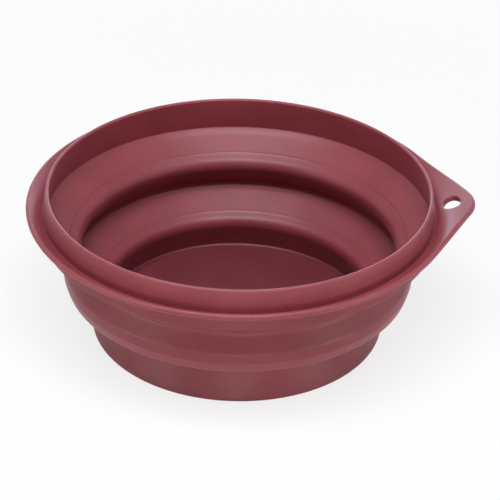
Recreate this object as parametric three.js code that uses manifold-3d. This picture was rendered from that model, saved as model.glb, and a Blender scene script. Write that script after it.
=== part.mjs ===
// Collapsible silicone travel bowl, standing open.
// Millimetres, +Z up. The origin is the centre of the base underside and the hanging tab points along +X.
// One soft moulding: three stiff rings (base, upper tier and rim) are joined by two thin conical webs.
// A web turns over when the ring above it is pushed down, so each web is parted round its middle
// and each half stays with the ring that it is moulded to.

import * as THREE from "three";
import { mergeVertices } from "three/addons/utils/BufferGeometryUtils.js";
import Module from "manifold-3d";

// Thicknesses, the flat on the lip's round edge, and the hairline between zones of the moulding
const FLOOR_THICKNESS = 2.2;
const WALL_THICKNESS = 3.8;
const WEB_THICKNESS = 1.5;
const LIP_THICKNESS = 1.9;
const LIP_FLAT = 0.05;
const FLANGE_THICKNESS = 3.0;
const SEAM = 0.3;

// Base and lower tier: the inside of the floor, the foot around it and the wall that leans in above
const FLOOR_RADIUS = 65.2;
const FOOT_WIDTH = 5.3;
const FOOT_ROUNDING = 1.4;
const LOWER_WALL_HEIGHT = 10.3;
const LOWER_WALL_LEAN = 2.9;

// Shoulder: the thick roll on top of each tier, raised by a small step above the web that leaves it.
// It reaches a little way down its wall.
const SHOULDER_RUN = 5.0;
const SHOULDER_RISE = 8.6;
const SHOULDER_FOOT = 3.0;
const SHOULDER_STEP = 0.4;
const SHOULDER_ROUNDING = 7.0;
const ARMPIT_ROUNDING = 3.0;
const STEP_ROUNDING = 0.3;

// Webs: the thin cones that turn over
const LOWER_WEB_RUN = 12.7;
const UPPER_WEB_RUN = 11.4;
const WEB_RISE = 7.7;

// Upper tier: a plumb band, the wall that leans in above it, and a tapered bead that bulges around the band
const BAND_HEIGHT = 3.2;
const BAND_ROUNDING = 2.5;
const UPPER_WALL_HEIGHT = 7.5;
const UPPER_WALL_LEAN = 5.0;
const BEAD_WIDTH = 3.1;
const BEAD_HEIGHT = 5.3;
const BEAD_DROP = 2.5;
const BEAD_TAPER = 1.5;
const BEAD_ROUNDING = 0.4;
const BULGE_LEAN = 0.3;
const BULGE_ROUNDING = 2.0;

// Rim: a collar that leans in to the lip, round at its lower edge
const COLLAR_HEIGHT = 17.7;
const COLLAR_LEAN = 3.0;
const COLLAR_ROUNDING = 1.2;

// Flange around the collar, arched upwards, and the hanging tab with its eyelet
const FLANGE_DROP = 10.9;
const FLANGE_REACH = 7.55;
const FLANGE_ARCH = 5.9;
const TAB_REACH = 10.8;
const TAB_TIP_ROUNDING = 20.0;
const EYELET_LENGTH = 10.4;
const EYELET_WIDTH = 8.2;
const EYELET_MARGIN = 6.5;
const EYELET_ROUNDING = 0.5;

// Facets, and how far an arc's facets may cut inside the arc
const RING_STEPS = 60;
const TAB_STEPS = 28;
const EYELET_STEPS = 24;
const ARCH_STEPS = 4;
const EDGE_STEPS = 4;
const ARC_SAG = 0.06;
const WELD = 1e-4;

const COLOUR = "#9c4f59";
const ROUGHNESS = 0.5;

const wasm = await Module();
wasm.setup();

// A point of the bowl's section: its distance from the axis and its height.
const at = (radius, height) => new THREE.Vector2(radius, height);

// The point a given way along a direction from a start.
const along = (start, direction, distance) => start.clone().addScaledVector(direction, distance);

// The direction from one point to another, and a direction turned a quarter to the left.
const directionTo = (from, to) => to.clone().sub(from).normalize();
const leftOf = (direction) => at(-direction.y, direction.x);

// Where two lines of the section cross, each given by a point and a direction.
function crossing(pointA, directionA, pointB, directionB) {
  const between = pointB.clone().sub(pointA);
  return along(pointA, directionA, between.cross(directionB) / directionA.cross(directionB));
}

// The point of a line of the section, given by a point and a direction, at a radius.
const atRadius = (point, direction, radius) => along(point, direction, (radius - point.x) / direction.x);

// A closed outline from [corner, rounding] pairs: a rounding turns its corner into an arc that touches both sides.
function roundedOutline(corners) {
  const outline = [];
  corners.forEach(([corner, rounding = 0], i) => {
    if (rounding === 0) {
      outline.push(corner);
      return;
    }
    const toBefore = directionTo(corner, corners.at(i - 1)[0]);
    const toAfter = directionTo(corner, corners[(i + 1) % corners.length][0]);
    const half = Math.acos(toBefore.dot(toAfter)) / 2;
    const inwards = toBefore.clone().add(toAfter).normalize();
    const centre = along(corner, inwards, rounding / Math.sin(half));
    const start = along(corner, toBefore, rounding / Math.tan(half));
    const turn = Math.sign(toAfter.cross(toBefore)) * (Math.PI - 2 * half);
    const steps = Math.ceil(Math.abs(turn) / (2 * Math.acos(1 - ARC_SAG / rounding)));
    for (let k = 0; k <= steps; k += 1) {
      outline.push(start.clone().rotateAround(centre, (turn * k) / steps));
    }
  });
  return outline;
}

// A geometry that has only shared corners, as a closed solid does.
function welded(geometry) {
  geometry.deleteAttribute("normal");
  geometry.deleteAttribute("uv");
  return mergeVertices(geometry, WELD);
}

// An outline turned about the bowl's axis. It runs anticlockwise in the section, with the axis on its left.
function turned(outline) {
  const lathe = new THREE.LatheGeometry(outline, RING_STEPS);
  return welded(lathe.rotateX(Math.PI / 2));
}

function turnedRing(corners) {
  const outline = roundedOutline(corners);
  return turned([...outline, outline[0]]);
}

function solidOf(geometry) {
  return new wasm.Manifold(
    new wasm.Mesh({
      numProp: 3,
      vertProperties: geometry.attributes.position.array,
      triVerts: new Uint32Array(geometry.index.array),
    }),
  );
}

function geometryOf(solid) {
  const mesh = solid.getMesh();
  const geometry = new THREE.BufferGeometry();
  geometry.setAttribute("position", new THREE.BufferAttribute(mesh.vertProperties, mesh.numProp));
  geometry.setIndex(new THREE.BufferAttribute(mesh.triVerts, 1));
  return geometry;
}

// The inner face of the bowl, from the floor's corner up to the lip
const floorCorner = at(FLOOR_RADIUS, FLOOR_THICKNESS);
const lowerWallTop = at(floorCorner.x - LOWER_WALL_LEAN, floorCorner.y + LOWER_WALL_HEIGHT);
const lowerWebFoot = at(lowerWallTop.x + SHOULDER_RUN, lowerWallTop.y + SHOULDER_RISE);
const lowerWebTop = at(lowerWebFoot.x + LOWER_WEB_RUN, lowerWebFoot.y + WEB_RISE);
const bandTop = at(lowerWebTop.x, lowerWebTop.y + BAND_HEIGHT);
const upperWallTop = at(bandTop.x - UPPER_WALL_LEAN, bandTop.y + UPPER_WALL_HEIGHT);
const upperWebFoot = at(upperWallTop.x + SHOULDER_RUN, upperWallTop.y + SHOULDER_RISE);
const upperWebTop = at(upperWebFoot.x + UPPER_WEB_RUN, upperWebFoot.y + WEB_RISE);
const lipInside = at(upperWebTop.x - COLLAR_LEAN, upperWebTop.y + COLLAR_HEIGHT);

const footRadius = FLOOR_RADIUS + FOOT_WIDTH;

// A web by its upper face: the way it climbs outwards, the way up from it, and its lower face.
function webLines(foot, top) {
  const outwards = directionTo(foot, top);
  const upwards = leftOf(outwards);
  const under = (point) => along(point, upwards, -WEB_THICKNESS);
  return { outwards, upwards, under };
}

// A wall by its inner face: the way it climbs, and its outer face.
function wallLines(foot, top) {
  const climb = directionTo(foot, top);
  const outside = (point) => along(point, leftOf(climb), -WALL_THICKNESS);
  return { climb, outside };
}

// Floor disc, with the foot's rounded lower edge
function baseFloor() {
  return turned(
    roundedOutline([
      [at(0, 0)],
      [at(footRadius, 0), FOOT_ROUNDING],
      [at(footRadius, FLOOR_THICKNESS)],
      [at(0, FLOOR_THICKNESS)],
    ]),
  );
}

// Wall of the lower tier, thicker towards the foot that it stands on
function lowerTier() {
  const { climb, outside } = wallLines(floorCorner, lowerWallTop);
  const top = along(lowerWallTop, climb, -SHOULDER_FOOT);
  return turnedRing([
    [along(floorCorner, climb, SEAM)],
    [at(footRadius, FLOOR_THICKNESS + SEAM)],
    [outside(top)],
    [top],
  ]);
}

// Wall of the upper tier, thicker at the bead that hangs below the web it carries
function upperTier() {
  const { climb, outside } = wallLines(bandTop, upperWallTop);
  const { under } = webLines(lowerWebFoot, lowerWebTop);
  const top = along(upperWallTop, climb, -SHOULDER_FOOT);
  const webRoot = under(lowerWebTop);
  const beadRadius = lowerWebTop.x + BEAD_WIDTH;
  const beadBottom = webRoot.y - BEAD_DROP;
  return turnedRing([
    [lowerWebTop],
    [webRoot],
    [at(webRoot.x, beadBottom), STEP_ROUNDING],
    [at(beadRadius - BEAD_TAPER, beadBottom), BEAD_ROUNDING],
    [at(beadRadius, beadBottom + BEAD_HEIGHT), BULGE_ROUNDING],
    [atRadius(outside(bandTop), climb, beadRadius - BULGE_LEAN), BULGE_ROUNDING],
    [outside(top)],
    [top],
    [bandTop, BAND_ROUNDING],
  ]);
}

// Roll on top of a tier's wall, up to the foot of the web above it
function shoulder(wallFoot, wallTop, webFoot, webTop) {
  const { climb, outside } = wallLines(wallFoot, wallTop);
  const { outwards, upwards, under } = webLines(webFoot, webTop);
  const seat = along(wallTop, climb, SEAM - SHOULDER_FOOT);
  const stepTop = along(webFoot, upwards, SHOULDER_STEP);
  return turnedRing([
    [seat],
    [outside(seat)],
    [crossing(outside(seat), climb, under(webFoot), outwards), ARMPIT_ROUNDING],
    [under(webFoot)],
    [stepTop, STEP_ROUNDING],
    [crossing(seat, climb, stepTop, outwards), SHOULDER_ROUNDING],
  ]);
}

// Inner half of a web, on the shoulder below it, and outer half, on the ring above it.
// They part along an upright cut, so that one can slide down past the other.
function webHalves(foot, top) {
  const { outwards, under } = webLines(foot, top);
  const start = along(foot, outwards, SEAM);
  const end = along(top, outwards, -SEAM);
  const middle = (foot.x + top.x) / 2;
  const cut = (point, radius) => atRadius(point, outwards, radius);
  const inner = middle - SEAM / 2;
  const outer = middle + SEAM / 2;
  return {
    innerHalf: turnedRing([[start], [under(start)], [cut(under(foot), inner)], [cut(foot, inner)]]),
    outerHalf: turnedRing([[cut(foot, outer)], [cut(under(foot), outer)], [under(end)], [end]]),
  };
}

// Rim collar: the leaning band that ends in the round lip, down to the upper web that hangs from it
const lipOutside = at(lipInside.x + LIP_THICKNESS, lipInside.y);
const collarFall = directionTo(lipInside, upperWebTop);
const collarOutside = (height) => along(lipOutside, collarFall, (height - lipOutside.y) / collarFall.y);
const flangeRoot = collarOutside(lipOutside.y - FLANGE_DROP);

function rimCollar() {
  const { outwards, under } = webLines(upperWebFoot, upperWebTop);
  const webRoot = under(upperWebTop);
  const lipRounding = (LIP_THICKNESS - LIP_FLAT) / 2;
  return turnedRing([
    [upperWebTop],
    [webRoot],
    [crossing(webRoot, outwards, lipOutside, collarFall), COLLAR_ROUNDING],
    [lipOutside, lipRounding],
    [lipInside, lipRounding],
  ]);
}

// Plan of the flange: a circle, and a tab whose straight sides leave the circle square to its radius
const flangeRadius = flangeRoot.x + FLANGE_REACH;
const tipRadius = flangeRadius + TAB_REACH;
const tipCentre = tipRadius - TAB_TIP_ROUNDING;
const tabAngle = Math.acos((flangeRadius - TAB_TIP_ROUNDING) / tipCentre);
const tipAngle = Math.atan2(
  TAB_TIP_ROUNDING * Math.sin(tabAngle),
  tipCentre + TAB_TIP_ROUNDING * Math.cos(tabAngle),
);

// Reach of the tab at an angle from its middle: the round tip, then the straight side
function tabRadius(angle) {
  const aside = Math.abs(angle);
  if (aside < tipAngle) {
    const half = Math.sqrt(TAB_TIP_ROUNDING ** 2 - (tipCentre * Math.sin(aside)) ** 2);
    return tipCentre * Math.cos(aside) + half;
  }
  return flangeRadius / Math.cos(tabAngle - aside);
}

// Height of the flange's upper face: a cubic curve, steep at the collar and level at the tip of the tab.
function flangeTop(radius) {
  const left = 1 - (radius - flangeRoot.x) / (tipRadius - flangeRoot.x);
  return flangeRoot.y + FLANGE_ARCH * (1 - left ** 3);
}

// Section of the flange out to a radius, with a round edge: along the lower face, round the edge and back on top
function flangeSection(outerRadius) {
  const half = FLANGE_THICKNESS / 2;
  const edge = outerRadius - half;
  const rootTop = collarOutside(flangeRoot.y).x + SEAM;
  const rootUnder = collarOutside(flangeRoot.y - FLANGE_THICKNESS).x + SEAM;
  const section = [];
  for (let k = 0; k <= ARCH_STEPS; k += 1) {
    const radius = THREE.MathUtils.lerp(rootUnder, edge, k / ARCH_STEPS);
    section.push(at(radius, flangeTop(radius) - FLANGE_THICKNESS));
  }
  for (let k = 1; k < EDGE_STEPS; k += 1) {
    const turn = Math.PI * (k / EDGE_STEPS - 1 / 2);
    section.push(at(edge + half * Math.cos(turn), flangeTop(edge) - half + half * Math.sin(turn)));
  }
  for (let k = ARCH_STEPS; k >= 0; k -= 1) {
    const radius = THREE.MathUtils.lerp(rootTop, edge, k / ARCH_STEPS);
    section.push(at(radius, flangeTop(radius)));
  }
  return section;
}

// A stretch of the flange between two angles, closed at both ends
function flangeStretch(from, to, steps, radiusAt) {
  const positions = [];
  const triangles = [];
  const count = flangeSection(flangeRadius).length;
  for (let i = 0; i <= steps; i += 1) {
    const angle = THREE.MathUtils.lerp(from, to, i / steps);
    flangeSection(radiusAt(angle)).forEach((point) => {
      positions.push(point.x * Math.cos(angle), point.x * Math.sin(angle), point.y);
    });
  }
  for (let i = 0; i < steps; i += 1) {
    for (let k = 0; k < count; k += 1) {
      const here = i * count + k;
      const beside = i * count + ((k + 1) % count);
      triangles.push(here, here + count, beside, beside, here + count, beside + count);
    }
  }
  const last = steps * count;
  THREE.ShapeUtils.triangulateShape(flangeSection(radiusAt(from)), []).forEach(([a, b, c]) => {
    triangles.push(a, b, c);
    triangles.push(last + c, last + b, last + a);
  });
  const geometry = new THREE.BufferGeometry();
  geometry.setAttribute("position", new THREE.Float32BufferAttribute(positions, 3));
  geometry.setIndex(triangles);
  return geometry;
}

const tabParting = SEAM / 2 / flangeRoot.x;

function rimFlange() {
  const stretch = 2 * (Math.PI - tabAngle);
  const steps = Math.round((RING_STEPS * stretch) / (2 * Math.PI));
  return flangeStretch(tabAngle + tabParting, tabAngle + stretch - tabParting, steps, () => flangeRadius);
}

// Oval cutter for the eyelet: it flares at both faces of the tab, so that the hole's edges are round.
function eyeletCutter(centreRadius) {
  const half = FLANGE_THICKNESS / 2;
  const bore = EYELET_WIDTH / 2;
  const mouth = bore + EYELET_ROUNDING;
  const flare = [];
  for (let k = 0; k <= EDGE_STEPS; k += 1) {
    const turn = ((Math.PI / 2) * k) / EDGE_STEPS;
    flare.push(at(mouth - EYELET_ROUNDING * Math.cos(turn), half - EYELET_ROUNDING * (1 - Math.sin(turn))));
  }
  const lower = flare.map((point) => at(point.x, -point.y)).reverse();
  const past = FLANGE_THICKNESS;
  const profile = [at(0, -past), at(mouth, -past), ...lower, ...flare, at(mouth, past), at(0, past)];
  const cutter = welded(new THREE.LatheGeometry(profile, EYELET_STEPS).rotateX(Math.PI / 2));
  const nearby = flangeTop(centreRadius + bore) - flangeTop(centreRadius - bore);
  cutter.scale(1, EYELET_LENGTH / EYELET_WIDTH, 1);
  cutter.rotateY(-Math.atan2(nearby, EYELET_WIDTH));
  return cutter.translate(centreRadius, 0, flangeTop(centreRadius) - half);
}

function hangingTab() {
  const tab = flangeStretch(-tabAngle + tabParting, tabAngle - tabParting, TAB_STEPS, tabRadius);
  const eyelet = eyeletCutter(tipRadius - EYELET_MARGIN - EYELET_WIDTH / 2);
  return geometryOf(solidOf(tab).subtract(solidOf(eyelet)));
}

function piece(name, geometry) {
  const material = new THREE.MeshStandardMaterial({ color: COLOUR, roughness: ROUGHNESS, metalness: 0 });
  const mesh = new THREE.Mesh(geometry, material);
  mesh.name = name;
  return mesh;
}

// The three rings that move, each with the web halves moulded to it
const lowerWeb = webHalves(lowerWebFoot, lowerWebTop);
const upperWeb = webHalves(upperWebFoot, upperWebTop);

const base = new THREE.Group();
base.add(piece("base_floor", baseFloor()));
base.add(piece("lower_tier", lowerTier()));
base.add(piece("lower_shoulder", shoulder(floorCorner, lowerWallTop, lowerWebFoot, lowerWebTop)));
base.add(piece("lower_web_inner", lowerWeb.innerHalf));

const tier = new THREE.Group();
tier.add(piece("lower_web_outer", lowerWeb.outerHalf));
tier.add(piece("upper_tier", upperTier()));
tier.add(piece("upper_shoulder", shoulder(bandTop, upperWallTop, upperWebFoot, upperWebTop)));
tier.add(piece("upper_web_inner", upperWeb.innerHalf));

const rim = new THREE.Group();
rim.add(piece("upper_web_outer", upperWeb.outerHalf));
rim.add(piece("rim_collar", rimCollar()));
rim.add(piece("rim_flange", rimFlange()));
rim.add(piece("hanging_tab", hangingTab()));

const bowl = new THREE.Group();
bowl.add(base, tier, rim);

export default bowl;
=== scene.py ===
# Collapsible silicone travel bowl: the smooth moulding over the imported frame, in metres, +Z up.
# The moulding is two skins that meet in a hidden ring of the upper wall. Each skin holds one of the two
# folds.

import math

import bmesh
import bpy
import numpy as np
from mathutils import Matrix, Vector

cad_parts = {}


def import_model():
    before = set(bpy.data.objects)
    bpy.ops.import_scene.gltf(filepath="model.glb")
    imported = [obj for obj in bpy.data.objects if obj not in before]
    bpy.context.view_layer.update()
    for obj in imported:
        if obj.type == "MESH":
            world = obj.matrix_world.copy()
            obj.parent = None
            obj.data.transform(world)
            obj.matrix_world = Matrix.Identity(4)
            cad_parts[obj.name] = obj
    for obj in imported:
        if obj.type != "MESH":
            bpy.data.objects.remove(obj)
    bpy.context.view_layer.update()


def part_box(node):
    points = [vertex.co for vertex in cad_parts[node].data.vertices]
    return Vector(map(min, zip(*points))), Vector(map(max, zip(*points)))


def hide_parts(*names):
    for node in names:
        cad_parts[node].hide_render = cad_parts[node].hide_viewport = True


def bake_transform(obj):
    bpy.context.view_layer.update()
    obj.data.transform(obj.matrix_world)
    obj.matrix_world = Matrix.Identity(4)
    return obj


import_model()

# Levels and radii that the frame gives
FLOOR_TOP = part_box("base_floor")[1].z
FOOT_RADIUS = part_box("base_floor")[1].x
LIP_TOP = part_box("rim_collar")[1].z
FLANGE_RADIUS = -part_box("rim_flange")[0].x
TAB_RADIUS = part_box("hanging_tab")[1].x

# Thicknesses
WALL = 0.0038
WEB = 0.0015
LIP = 0.0019
FLANGE = 0.0030

# Lower tier: inside of the floor's corner, then the run and rise of the wall from there
FLOOR_RADIUS = 0.0652
LOWER_WALL = (-0.0029, 0.0103)
FLOOR_FILLET = 0.0012
FOOT_ROUNDING = 0.0014

# Shoulders: their run outwards and rise, the step up from the web and the low ridge at its edge
SHOULDER = (0.0050, 0.0086)
SHOULDER_ROUNDING = 0.0050
SHOULDER_STEP = 0.0004
STEP_FILLET = 0.00015
RIDGE_HEIGHT = 0.0002
RIDGE_WIDTH = 0.0014
RIDGE_ROUNDING = 0.0003
RIDGE_FILLET = 0.0030
ARMPIT_ROUNDING = 0.0030

# Webs, each as its run outwards and its rise
LOWER_WEB = (0.0127, 0.0077)
UPPER_WEB = (0.0114, 0.0077)
WEB_FILLET = 0.0014

# How far below the upper shoulder the two skins meet
SEAM_DROP = 0.0030

# Upper tier: plumb band, leaning wall and the bead that bulges around the band
BAND_HEIGHT = 0.0032
BAND_ROUNDING = 0.0025
UPPER_WALL = (-0.0050, 0.0075)
BEAD_WIDTH = 0.0031
BEAD_HEIGHT = 0.0053
BEAD_DROP = 0.0025
BEAD_TAPER = 0.0015
BEAD_ROUNDING = 0.0012
BEAD_CORNER = 0.0003
BEAD_TOP_ROUNDING = 0.0015
BULGE_LEAN = 0.0003
BULGE_ROUNDING = 0.0035

# Rim collar, with its lip as a share of a full half round, and the cove where it meets the web
COLLAR_LEAN = 0.0030
LIP_ROUNDNESS = 0.98
COLLAR_ROUNDING = 0.0005
COVE_RUN = 0.0022
COVE_RISE = 0.0007
COVE_FILLET = 0.0005
COVE_BEND = 0.0120

# Flange, tab and eyelet
FLANGE_DROP = 0.0109
FLANGE_ARCH = 0.0059
TAB_TIP_ROUNDING = 0.0200
ROOT_RUN = 0.0016
ROOT_FILLET = 0.0002
EYELET_HALF = (0.0041, 0.0052)
EYELET_MARGIN = 0.0065
EYELET_ROUNDING = 0.0005

# Mesh steps, with the eyelet's patch as angle steps to each side, steps of reach and rings inside it
TURN_STEPS = 360
ARC_STEP = math.radians(9)
STRAIGHT_STEP = 0.0016
REACH_STEPS = 16
EDGE_STEPS = 10
PATCH_ANGLE_STEPS = 6
PATCH_REACH = 13
PATCH_RINGS = 5
FLOOR_RINGS = 8


# Section geometry
def at(radius, height):
    return np.array((radius, height), float)


def unit(vector):
    return vector / np.linalg.norm(vector)


def left_of(vector):
    return at(-vector[1], vector[0])


def cross(a, b):
    return a[0] * b[1] - a[1] * b[0]


def crossing(point_a, way_a, point_b, way_b):
    """Where two lines of the section meet, each given by a point and a direction."""
    return point_a + way_a * cross(point_b - point_a, way_b) / cross(way_a, way_b)


def at_radius(point, way, radius):
    """The point of a line of the section at a radius."""
    return point + way * (radius - point[0]) / way[0]


def straight(start, end):
    """Points from start up to, but without, end."""
    count = max(1, math.ceil(np.linalg.norm(end - start) / STRAIGHT_STEP))
    return [start + (end - start) * k / count for k in range(count)]


def arc(corner, before, after, rounding):
    """The arc that rounds a corner between the points before and after it."""
    back, ahead = unit(before - corner), unit(after - corner)
    half = math.acos(np.clip(back @ ahead, -1, 1)) / 2
    centre = corner + unit(back + ahead) * rounding / math.sin(half)
    spoke = corner + back * rounding / math.tan(half) - centre
    turn = math.copysign(math.pi - 2 * half, cross(ahead, back))
    count = max(1, math.ceil(abs(turn) / ARC_STEP))
    aside = left_of(spoke)
    points = []
    for k in range(count + 1):
        angle = turn * k / count
        points.append(centre + spoke * math.cos(angle) + aside * math.sin(angle))
    return points


def path(corners):
    """Finely stepped points along (corner, rounding) pairs. The first and the last corner are ends."""
    stops = [[corners[0][0]]]
    for (before, _), (corner, rounding), (after, _) in zip(corners, corners[1:], corners[2:]):
        stops.append(arc(corner, before, after, rounding) if rounding else [corner])
    stops.append([corners[-1][0]])
    points = []
    for here, following in zip(stops, stops[1:]):
        points += here[:-1] + straight(here[-1], following[0])
    return points + stops[-1]


# Key points of the inner face, from the floor's corner up to the lip
floor_corner = at(FLOOR_RADIUS, FLOOR_TOP)
lower_wall_top = floor_corner + LOWER_WALL
lower_web_foot = lower_wall_top + SHOULDER
lower_web_top = lower_web_foot + LOWER_WEB
band_top = lower_web_top + (0, BAND_HEIGHT)
upper_wall_top = band_top + UPPER_WALL
upper_web_foot = upper_wall_top + SHOULDER
upper_web_top = upper_web_foot + UPPER_WEB
lip_inside = at(upper_web_top[0] - COLLAR_LEAN, LIP_TOP)
lip_outside = lip_inside + (LIP, 0)
collar_fall = unit(upper_web_top - lip_inside)


def collar_outside(height):
    return lip_outside + collar_fall * (height - lip_outside[1]) / collar_fall[1]


def wall_outside(foot, top, point):
    return point - left_of(unit(top - foot)) * WALL


def web_under(foot, top, point):
    return point - left_of(unit(top - foot)) * WEB


def roll_inside(wall_foot, wall_top, web_foot, web_top):
    """Corners of the inner face from a web's foot over the ridge to the nose of the shoulder."""
    climb, outwards = unit(wall_top - wall_foot), unit(web_top - web_foot)
    upwards = left_of(outwards)
    raised = web_foot + upwards * SHOULDER_STEP
    ridge = raised + upwards * RIDGE_HEIGHT - outwards * RIDGE_HEIGHT
    nose = crossing(wall_top, climb, raised, outwards)
    return [
        (web_foot, STEP_FILLET),
        (ridge, RIDGE_ROUNDING),
        (raised - outwards * RIDGE_WIDTH, RIDGE_FILLET),
        (nose, SHOULDER_ROUNDING),
    ]


def armpit(wall_foot, wall_top, web_foot, web_top):
    """The outer corner between a wall and the web above its shoulder, with its rounding."""
    outside = wall_outside(wall_foot, wall_top, wall_top)
    under = web_under(web_foot, web_top, web_foot)
    corner = crossing(outside, unit(wall_top - wall_foot), under, unit(web_top - web_foot))
    return corner, ARMPIT_ROUNDING


# The ring of the upper wall where the skins meet
seam_inside = upper_wall_top - unit(upper_wall_top - band_top) * SEAM_DROP
seam_outside = wall_outside(band_top, upper_wall_top, seam_inside)


# Flange and tab
flange_root = collar_outside(LIP_TOP - FLANGE_DROP)
tip_centre = TAB_RADIUS - TAB_TIP_ROUNDING
tab_angle = math.acos((FLANGE_RADIUS - TAB_TIP_ROUNDING) / tip_centre)
tip_angle = math.atan2(
    TAB_TIP_ROUNDING * math.sin(tab_angle),
    tip_centre + TAB_TIP_ROUNDING * math.cos(tab_angle),
)
angles = np.arange(TURN_STEPS) * 2 * math.pi / TURN_STEPS


def flange_reach(angle):
    """Reach of the flange at an angle: a circle, and a tab with straight sides and a round tip on +X."""
    aside = abs(math.remainder(angle, 2 * math.pi))
    if aside > tab_angle:
        return FLANGE_RADIUS
    if aside > tip_angle:
        return FLANGE_RADIUS / math.cos(tab_angle - aside)
    half = math.sqrt(TAB_TIP_ROUNDING**2 - (tip_centre * math.sin(aside)) ** 2)
    return tip_centre * math.cos(aside) + half


def way_left(radius):
    """Share of the way from the collar to the tip of the tab that is left at a radius."""
    return 1 - (radius - flange_root[0]) / (TAB_RADIUS - flange_root[0])


def flange_top(radius):
    """Height of the flange's upper face: a cubic, steep at the collar and level at the tab's tip."""
    return flange_root[1] + FLANGE_ARCH * (1 - way_left(radius) ** 3)


def flange_slope(radius):
    return 3 * FLANGE_ARCH * way_left(radius) ** 2 / (TAB_RADIUS - flange_root[0])


class Skin:
    """Rings of points around the bowl's axis, joined into one closed mesh."""

    def __init__(self):
        self.points = []
        self.faces = []

    def add(self, points):
        start = len(self.points)
        self.points += [tuple(point) for point in points]
        return list(range(start, len(self.points)))

    def ring(self, radii, heights):
        radii = np.broadcast_to(radii, angles.shape)
        heights = np.broadcast_to(heights, angles.shape)
        return self.add(np.column_stack((radii * np.cos(angles), radii * np.sin(angles), heights)))

    def rings(self, section):
        return [self.ring(*point) for point in section]

    def bridge(self, ring_a, ring_b, left_out=()):
        count = len(ring_a)
        for j in range(count):
            if j not in left_out:
                beside = (j + 1) % count
                self.faces.append((ring_a[j], ring_a[beside], ring_b[beside], ring_b[j]))

    def bridge_all(self, rings):
        for ring_a, ring_b in zip(rings, rings[1:]):
            self.bridge(ring_a, ring_b)

    def disc(self, ring, height):
        """Closes a ring with smaller rings and a middle point, all at one height."""
        radius = math.hypot(*self.points[ring[0]][:2])
        for k in range(FLOOR_RINGS - 1, 0, -1):
            inner = self.ring(radius * k / FLOOR_RINGS, height)
            self.bridge(ring, inner)
            ring = inner
        middle = self.add([(0, 0, height)])[0]
        for j, here in enumerate(ring):
            self.faces.append((here, ring[(j + 1) % len(ring)], middle))

    def build(self, name, material, sharp_rings=()):
        mesh = bpy.data.meshes.new(name)
        mesh.from_pydata(self.points, [], self.faces)
        form = bmesh.new()
        form.from_mesh(mesh)
        bmesh.ops.recalc_face_normals(form, faces=form.faces)
        for face in form.faces:
            face.smooth = True
        sharp = {frozenset(pair) for ring in sharp_rings for pair in zip(ring, ring[1:] + ring[:1])}
        for edge in form.edges:
            if frozenset(v.index for v in edge.verts) in sharp:
                edge.smooth = False
        form.to_mesh(mesh)
        form.free()
        mesh.materials.append(material)
        piece = bpy.data.objects.new(name, mesh)
        bpy.context.collection.objects.link(piece)
        return piece


def flange_rings(skin, start):
    """Rings of the flange from a start radius: its lower face, its round edge and its upper face."""
    half = FLANGE / 2
    edge = np.array([flange_reach(angle) for angle in angles]) - half
    under, over = [], []
    for k in range(1, REACH_STEPS + 1):
        radii = start + (edge - start) * k / REACH_STEPS
        under.append(skin.ring(radii, flange_top(radii) - FLANGE))
        over.append(skin.ring(radii, flange_top(radii)))
    middle = flange_top(edge) - half
    rounds = []
    for k in range(1, EDGE_STEPS):
        turn = math.pi * (k / EDGE_STEPS - 0.5)
        rounds.append(skin.ring(edge + half * math.cos(turn), middle + half * math.sin(turn)))
    return under, rounds, over


def patch_loop(rings):
    """The points around the eyelet's patch: rings go outwards, and the tab's middle is angle zero."""
    side = range(-PATCH_ANGLE_STEPS, PATCH_ANGLE_STEPS + 1)
    loop = [rings[0][j] for j in side]
    loop += [rings[k][side[-1]] for k in range(1, PATCH_REACH)]
    loop += [rings[PATCH_REACH][j] for j in reversed(side)]
    loop += [rings[k][side[0]] for k in range(PATCH_REACH - 1, 0, -1)]
    return loop


def eyelet(skin, under, over):
    """Fills the patch on both faces of the tab up to the eyelet, with round edges and its wall."""
    centre = TAB_RADIUS - EYELET_MARGIN - EYELET_HALF[0]
    lean = flange_slope(centre)
    half_x, half_y = EYELET_HALF
    ends = []
    for rings, drop, up in ((over, 0, 1), (under, FLANGE, -1)):
        ring = patch_loop(rings)
        outline = np.array([skin.points[index][:2] for index in ring])
        middle = centre - up * lean * FLANGE / 2
        turn = np.arctan2(outline[:, 1] / half_y, (outline[:, 0] - middle) / half_x)

        def oval(grow, depth):
            x = middle + up * lean * depth + (half_x + grow) * np.cos(turn)
            y = (half_y + grow) * np.sin(turn)
            height = flange_top(np.hypot(x, y)) - drop - up * depth
            return np.column_stack((x, y, height))

        mouth = oval(EYELET_ROUNDING, 0)
        for k in range(1, PATCH_RINGS + 1):
            plan = outline + (mouth[:, :2] - outline) * k / PATCH_RINGS
            height = flange_top(np.hypot(*plan.T)) - drop
            following = skin.add(np.column_stack((plan, height)))
            skin.bridge(ring, following)
            ring = following
        for k in range(1, EDGE_STEPS // 2 + 1):
            angle = math.pi * k / EDGE_STEPS
            grow = EYELET_ROUNDING * (1 - math.sin(angle))
            following = skin.add(oval(grow, EYELET_ROUNDING * (1 - math.cos(angle))))
            skin.bridge(ring, following)
            ring = following
        ends.append(ring)
    skin.bridge(*ends)


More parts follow.
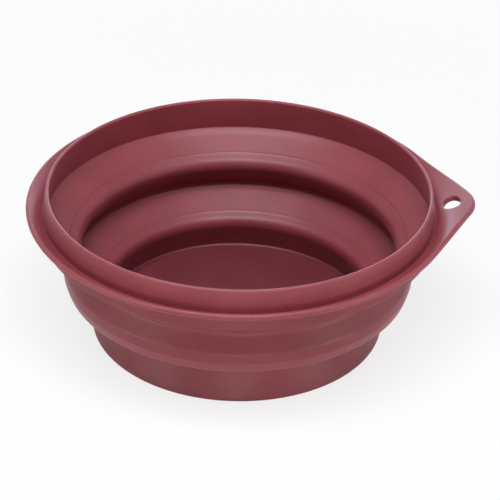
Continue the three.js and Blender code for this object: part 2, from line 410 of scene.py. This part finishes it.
def rim_skin(material):
    """Shoulder of the upper tier, upper web, collar, flange and tab."""
    roll = (band_top, upper_wall_top, upper_web_foot, upper_web_top)
    web_root = web_under(upper_web_foot, upper_web_top, upper_web_top)
    collar_foot = crossing(web_root, unit(upper_web_top - upper_web_foot), lip_outside, collar_fall)
    cove_end = upper_web_top - unit(upper_web_top - upper_web_foot) * COVE_RUN
    root_under = collar_outside(flange_root[1] - FLANGE)
    flange_start = flange_root[0] + ROOT_RUN
    outer = path([
        (seam_outside, 0), armpit(*roll), (collar_foot, COLLAR_ROUNDING),
        (root_under, ROOT_FILLET), (at(flange_start, flange_top(flange_start) - FLANGE), 0),
    ])
    lip_rounding = LIP / 2 * LIP_ROUNDNESS
    inner = path([
        (at(flange_start, flange_top(flange_start)), 0), (flange_root, ROOT_FILLET),
        (lip_outside, lip_rounding), (lip_inside, lip_rounding),
        (upper_web_top - collar_fall * COVE_RISE, COVE_FILLET), (cove_end, COVE_BEND),
        *roll_inside(*roll), (seam_inside, 0),
    ])
    skin = Skin()
    outer_rings = skin.rings(outer)
    under, rounds, over = flange_rings(skin, flange_start)
    inner_rings = skin.rings(inner)
    under.insert(0, outer_rings[-1])
    over.insert(0, inner_rings[0])
    hole = {j % TURN_STEPS for j in range(-PATCH_ANGLE_STEPS, PATCH_ANGLE_STEPS)}
    for face in (under, over):
        for k in range(REACH_STEPS):
            skin.bridge(face[k], face[k + 1], hole if k < PATCH_REACH else ())
    skin.bridge_all(outer_rings)
    skin.bridge_all([under[-1], *rounds, over[-1]])
    skin.bridge_all(inner_rings)
    eyelet(skin, under, over)
    skin.bridge(inner_rings[-1], outer_rings[0])
    return skin.build("rim_skin", material, (inner_rings[-1], outer_rings[0]))


def base_skin(material):
    """Wall of the upper tier, its bead, lower web, shoulder, lower wall and floor."""
    roll = (floor_corner, lower_wall_top, lower_web_foot, lower_web_top)
    web_root = web_under(lower_web_foot, lower_web_top, lower_web_top)
    reach = lower_web_top[0] + BEAD_WIDTH
    bottom = web_root[1] - BEAD_DROP
    climb = unit(upper_wall_top - band_top)
    outer = path([
        (at(FOOT_RADIUS / 2, 0), 0), (at(FOOT_RADIUS, 0), FOOT_ROUNDING), armpit(*roll),
        (web_root, 0), (at(web_root[0], bottom), BEAD_CORNER),
        (at(reach - BEAD_TAPER, bottom), BEAD_ROUNDING),
        (at(reach, bottom + BEAD_HEIGHT), BEAD_TOP_ROUNDING),
        (at_radius(seam_outside, climb, reach - BULGE_LEAN), BULGE_ROUNDING), (seam_outside, 0),
    ])
    inner = path([
        (seam_inside, 0), (band_top, BAND_ROUNDING), (lower_web_top, WEB_FILLET), *roll_inside(*roll),
        (floor_corner, FLOOR_FILLET), (at(FLOOR_RADIUS / 2, FLOOR_TOP), 0),
    ])
    skin = Skin()
    outer_rings = skin.rings(outer)
    inner_rings = skin.rings(inner)
    skin.bridge_all(outer_rings)
    skin.bridge(outer_rings[-1], inner_rings[0])
    skin.bridge_all(inner_rings)
    skin.disc(outer_rings[0], 0)
    skin.disc(inner_rings[-1], FLOOR_TOP)
    return skin.build("base_skin", material, (inner_rings[0], outer_rings[-1]))


# Silicone: its two tones, the painted shade over the bowl's floor as a share of the tone, and the rise
# in which that painted shade ends
SILICONE_PALE = (0.252, 0.044, 0.061, 1)
SILICONE_DEEP = (0.222, 0.037, 0.052, 1)
PAINTED_FLOOR_SHADE = 0.62
PAINTED_FLOOR_SHADE_RISE = 0.0030

# Noises as scale and detail, the span of their values in use, and what they drive
CLOUD = (38, 4)
WAVE = (70, 1)
GRAIN = (2400, 2)
CLOUD_SPAN = (0.35, 0.65)
WAVE_SPAN = (0.3, 0.7)
ROUGHNESS = (0.415, 0.445)
WAVE_DEPTH = 0.00008
GRAIN_DEPTH = 0.000012

# Gloss, light that goes a little way into the surface, and sheen
SILICONE_IOR = 1.42
GLOW = 0.4
GLOW_DEPTH = 0.0025
GLOW_COLOURS = (1, 0.3, 0.25)
SHEEN = 0.03
SHEEN_ROUGHNESS = 0.4
SHEEN_TINT = (0.85, 0.78, 0.95, 1)


def noise(nodes, links, place, scale, detail):
    texture = nodes.new("ShaderNodeTexNoise")
    texture.inputs["Scale"].default_value = scale
    texture.inputs["Detail"].default_value = detail
    links.new(place, texture.inputs["Vector"])
    return texture.outputs["Fac"]


def map_range(nodes, links, value, source, target):
    """A value carried smoothly from one range to another, and kept inside it."""
    node = nodes.new("ShaderNodeMapRange")
    node.interpolation_type = "SMOOTHSTEP"
    for name, number in zip(("From Min", "From Max", "To Min", "To Max"), (*source, *target)):
        node.inputs[name].default_value = number
    links.new(value, node.inputs["Value"])
    return node.outputs["Result"]


def math_node(nodes, links, operation, a, b):
    node = nodes.new("ShaderNodeMath")
    node.operation = operation
    links.new(a, node.inputs[0])
    links.new(b, node.inputs[1])
    return node.outputs[0]


def length(nodes, links, vector):
    node = nodes.new("ShaderNodeVectorMath")
    node.operation = "LENGTH"
    links.new(vector, node.inputs[0])
    return node.outputs["Value"]


def painted_floor_shade(nodes, links, place):
    """Painted shade by place: the tone is darkened over the bowl's floor, and full from the foot of the
    wall on.
    """
    split = nodes.new("ShaderNodeSeparateXYZ")
    links.new(place, split.inputs[0])
    flat = nodes.new("ShaderNodeCombineXYZ")
    links.new(split.outputs["X"], flat.inputs["X"])
    links.new(split.outputs["Y"], flat.inputs["Y"])
    radius = length(nodes, links, flat.outputs[0])
    low = (FLOOR_TOP, FLOOR_TOP + PAINTED_FLOOR_SHADE_RISE)
    rise = map_range(nodes, links, split.outputs["Z"], low, (PAINTED_FLOOR_SHADE, 1))
    edge = (FLOOR_RADIUS, FOOT_RADIUS - FOOT_ROUNDING)
    outside = map_range(nodes, links, radius, edge, (0, 1))
    return math_node(nodes, links, "MAXIMUM", rise, outside)


def bump(nodes, links, height, distance, before=None):
    node = nodes.new("ShaderNodeBump")
    node.inputs["Strength"].default_value = 1
    node.inputs["Distance"].default_value = distance
    links.new(height, node.inputs["Height"])
    if before is not None:
        links.new(before, node.inputs["Normal"])
    return node.outputs["Normal"]


def silicone():
    """Satin silicone: cloudy tone, slightly patchy gloss, a soft wave and a fine mould grain."""
    material = bpy.data.materials.new("silicone")
    material.use_nodes = True
    nodes, links = material.node_tree.nodes, material.node_tree.links
    shader = nodes["Principled BSDF"]
    place = nodes.new("ShaderNodeTexCoord").outputs["Object"]
    cloud = noise(nodes, links, place, *CLOUD)
    wave = noise(nodes, links, place, *WAVE)
    grain = noise(nodes, links, place, *GRAIN)

    tint = nodes.new("ShaderNodeMix")
    tint.data_type = "RGBA"
    tint.inputs["A"].default_value = SILICONE_DEEP
    tint.inputs["B"].default_value = SILICONE_PALE
    links.new(map_range(nodes, links, cloud, CLOUD_SPAN, (0, 1)), tint.inputs["Factor"])
    # Painted shade: the base colour is scaled down over the bowl's floor, where the walls shade it
    tint_with_painted_shade = nodes.new("ShaderNodeVectorMath")
    tint_with_painted_shade.operation = "SCALE"
    links.new(tint.outputs["Result"], tint_with_painted_shade.inputs[0])
    links.new(painted_floor_shade(nodes, links, place), tint_with_painted_shade.inputs["Scale"])
    links.new(tint_with_painted_shade.outputs[0], shader.inputs["Base Color"])

    links.new(map_range(nodes, links, wave, WAVE_SPAN, ROUGHNESS), shader.inputs["Roughness"])
    waved = bump(nodes, links, wave, WAVE_DEPTH)
    links.new(bump(nodes, links, grain, GRAIN_DEPTH, waved), shader.inputs["Normal"])
    shader.inputs["IOR"].default_value = SILICONE_IOR
    shader.inputs["Subsurface Weight"].default_value = GLOW
    shader.inputs["Subsurface Scale"].default_value = GLOW_DEPTH
    shader.inputs["Subsurface Radius"].default_value = GLOW_COLOURS
    shader.inputs["Sheen Weight"].default_value = SHEEN
    shader.inputs["Sheen Roughness"].default_value = SHEEN_ROUGHNESS
    shader.inputs["Sheen Tint"].default_value = SHEEN_TINT
    return material


# Ground: half its side, its colour, the share of plain white near the bowl,
# and the distances between which that share rises to one
GROUND_HALF = 4.0
GROUND_COLOUR = (0.85, 0.85, 0.85, 1)
GROUND_WHITE_SHARE = 0.8
GROUND_FADE = (0.25, 0.70)


def seen_directly(nodes, links):
    """One for rays from the camera and for glossy or passing rays, and zero for softly bounced light."""
    light_path = nodes.new("ShaderNodeLightPath")
    total = light_path.outputs["Is Camera Ray"]
    for name in ("Is Glossy Ray", "Is Transmission Ray"):
        total = math_node(nodes, links, "MAXIMUM", total, light_path.outputs[name])
    return total


def ground_material():
    """Pale ground that keeps the shadow near the bowl and turns to plain white further out."""
    material = bpy.data.materials.new("floor")
    material.use_nodes = True
    nodes, links = material.node_tree.nodes, material.node_tree.links
    nodes.clear()
    output = nodes.new("ShaderNodeOutputMaterial")
    soft = nodes.new("ShaderNodeBsdfDiffuse")
    soft.inputs["Color"].default_value = GROUND_COLOUR
    white = nodes.new("ShaderNodeEmission")
    white.inputs["Strength"].default_value = 1
    distance = length(nodes, links, nodes.new("ShaderNodeTexCoord").outputs["Object"])
    share = map_range(nodes, links, distance, GROUND_FADE, (GROUND_WHITE_SHARE, 1))
    mix = nodes.new("ShaderNodeMixShader")
    links.new(math_node(nodes, links, "MULTIPLY", seen_directly(nodes, links), share), mix.inputs[0])
    links.new(soft.outputs[0], mix.inputs[1])
    links.new(white.outputs[0], mix.inputs[2])
    links.new(mix.outputs[0], output.inputs["Surface"])
    return material


# World: its colour, and its strength for light that bounces softly
WORLD_COLOUR = (1, 1, 1, 1)
WORLD_LIGHT = 0.02

# Softboxes by the way they stand from the bowl in degrees, their width and height,
# the light that arrives at the bowl and its colour
SOFTBOX_DISTANCE = 1.5
COOL = (0.97, 0.98, 1.0)
WARM = (1.0, 0.96, 0.87)
BLUISH = (0.74, 0.82, 1.0)
SOFTBOXES = {
    "key": {"azimuth": -6, "elevation": 72, "size": (1.2, 0.5), "light": 3.35, "colour": COOL},
    "back": {"azimuth": 180, "elevation": 13, "size": (0.9, 0.5), "light": 1.3, "colour": BLUISH},
    "front_left": {"azimuth": -58, "elevation": 11, "size": (0.5, 0.35), "light": 0.78, "colour": WARM},
    "front": {"azimuth": 0, "elevation": 8, "size": (0.5, 0.35), "light": 0.5, "colour": WARM},
    "front_right": {"azimuth": 58, "elevation": 11, "size": (0.5, 0.35), "light": 0.78, "colour": WARM},
    "left": {"azimuth": -120, "elevation": 18, "size": (0.5, 0.4), "light": 0.12, "colour": COOL},
    "right": {"azimuth": 95, "elevation": 10, "size": (0.5, 0.4), "light": 0.15, "colour": WARM},
}


def ground():
    mesh = bpy.data.meshes.new("floor")
    corners = [(-1, -1), (1, -1), (1, 1), (-1, 1)]
    mesh.from_pydata([(x * GROUND_HALF, y * GROUND_HALF, 0) for x, y in corners], [], [(0, 1, 2, 3)])
    mesh.materials.append(ground_material())
    piece = bpy.data.objects.new("floor", mesh)
    bpy.context.collection.objects.link(piece)


def world():
    scene_world = bpy.data.worlds.new("studio")
    scene_world.use_nodes = True
    nodes, links = scene_world.node_tree.nodes, scene_world.node_tree.links
    background = nodes["Background"]
    background.inputs["Color"].default_value = WORLD_COLOUR
    strength = nodes.new("ShaderNodeMapRange")
    strength.inputs["To Min"].default_value = WORLD_LIGHT
    strength.inputs["To Max"].default_value = 1
    links.new(seen_directly(nodes, links), strength.inputs["Value"])
    links.new(strength.outputs["Result"], background.inputs["Strength"])
    bpy.context.scene.world = scene_world


def softbox(name, azimuth, elevation, size, light, colour):
    """A flat lamp that faces the bowl. Azimuth zero is in front, where the camera stands."""
    turn, up = math.radians(azimuth), math.radians(elevation)
    way = Vector((math.sin(turn) * math.cos(up), -math.cos(turn) * math.cos(up), math.sin(up)))
    panel = bpy.data.lights.new(name, "AREA")
    panel.shape = "RECTANGLE"
    panel.size, panel.size_y = size
    panel.energy = light * math.pi * SOFTBOX_DISTANCE**2
    panel.color = colour
    lamp = bpy.data.objects.new(name, panel)
    lamp.location = way * SOFTBOX_DISTANCE
    lamp.rotation_euler = way.to_track_quat("Z", "Y").to_euler()
    bpy.context.collection.objects.link(lamp)


# Camera: picture and focal length in pixels, sensor in millimetres, the angles of the view,
# and how far right, down and ahead of the camera the middle of the lip lies
IMAGE_WIDTH = 500
FOCAL_PIXELS = 1900
SENSOR_WIDTH = 36
CAMERA_ELEVATION = math.radians(31.542)
CAMERA_AZIMUTH = math.radians(-0.5)
CAMERA_ROLL = math.radians(1.394)
LIP_CENTRE_SEEN = (-0.00483, -0.02979, 0.88618)


def camera():
    view = bpy.data.cameras.new("camera")
    view.sensor_width = SENSOR_WIDTH
    view.lens = SENSOR_WIDTH * FOCAL_PIXELS / IMAGE_WIDTH
    tilt = Matrix.Rotation(math.pi / 2 - CAMERA_ELEVATION, 3, "X")
    turn = Matrix.Rotation(CAMERA_AZIMUTH, 3, "Z") @ tilt @ Matrix.Rotation(CAMERA_ROLL, 3, "Z")
    right, down, ahead = LIP_CENTRE_SEEN
    eye = Vector((0, 0, LIP_TOP)) - turn @ Vector((right, -down, -ahead))
    holder = bpy.data.objects.new("camera", view)
    holder.matrix_world = Matrix.Translation(eye) @ turn.to_4x4()
    bpy.context.collection.objects.link(holder)
    bpy.context.scene.camera = holder


# Assembly
bpy.context.scene.view_settings.view_transform = "Standard"
moulding = silicone()
rim = rim_skin(moulding)
base = base_skin(moulding)
ground()
world()
for name, box in SOFTBOXES.items():
    softbox(name, **box)
camera()

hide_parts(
    "upper_shoulder", "upper_web_inner", "upper_web_outer",
    "rim_collar", "rim_flange", "hanging_tab",
)
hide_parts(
    "base_floor", "lower_tier", "lower_shoulder",
    "lower_web_inner", "lower_web_outer", "upper_tier",
)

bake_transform(rim)
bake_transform(base)
